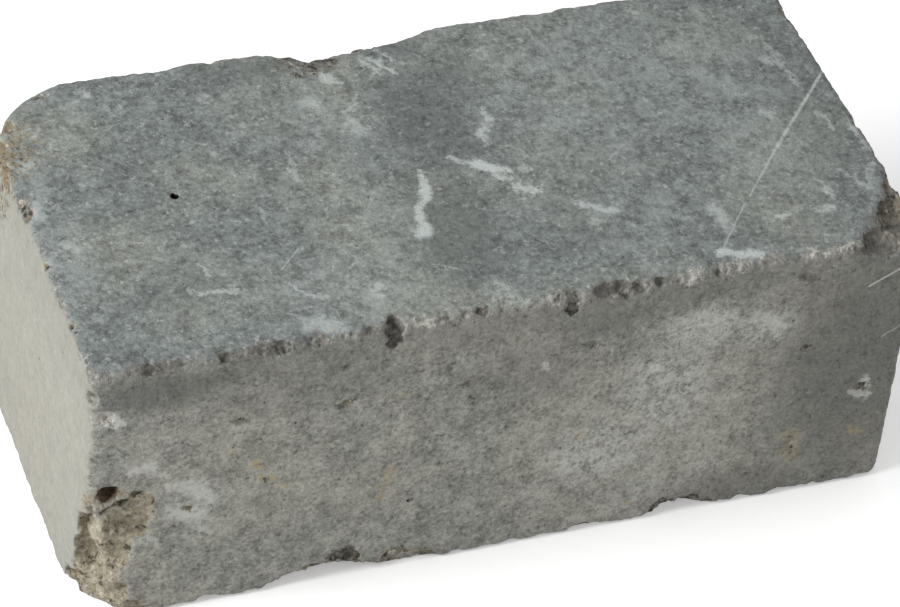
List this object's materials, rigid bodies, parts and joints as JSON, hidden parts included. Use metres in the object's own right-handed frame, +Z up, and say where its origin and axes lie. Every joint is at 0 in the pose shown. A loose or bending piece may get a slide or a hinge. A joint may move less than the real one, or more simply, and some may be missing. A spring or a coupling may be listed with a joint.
{
  "type": "retaining wall block",
  "caption": "Solid tumbled concrete block with worn edges and flat beds, laid dry in courses to build a low garden wall.",
  "frame": {"origin": "middle of the base", "axes": "+X along the length, +Y from the face to the back, +Z up"},
  "size_m": [0.3, 0.15, 0.115],
  "materials": {
    "tumbled_concrete": "cast grey concrete, tumbled, with chipped edges showing the aggregate"
  },
  "bodies": {
    "root": {"wall_block": "tumbled_concrete"}
  },
  "joints": []
}
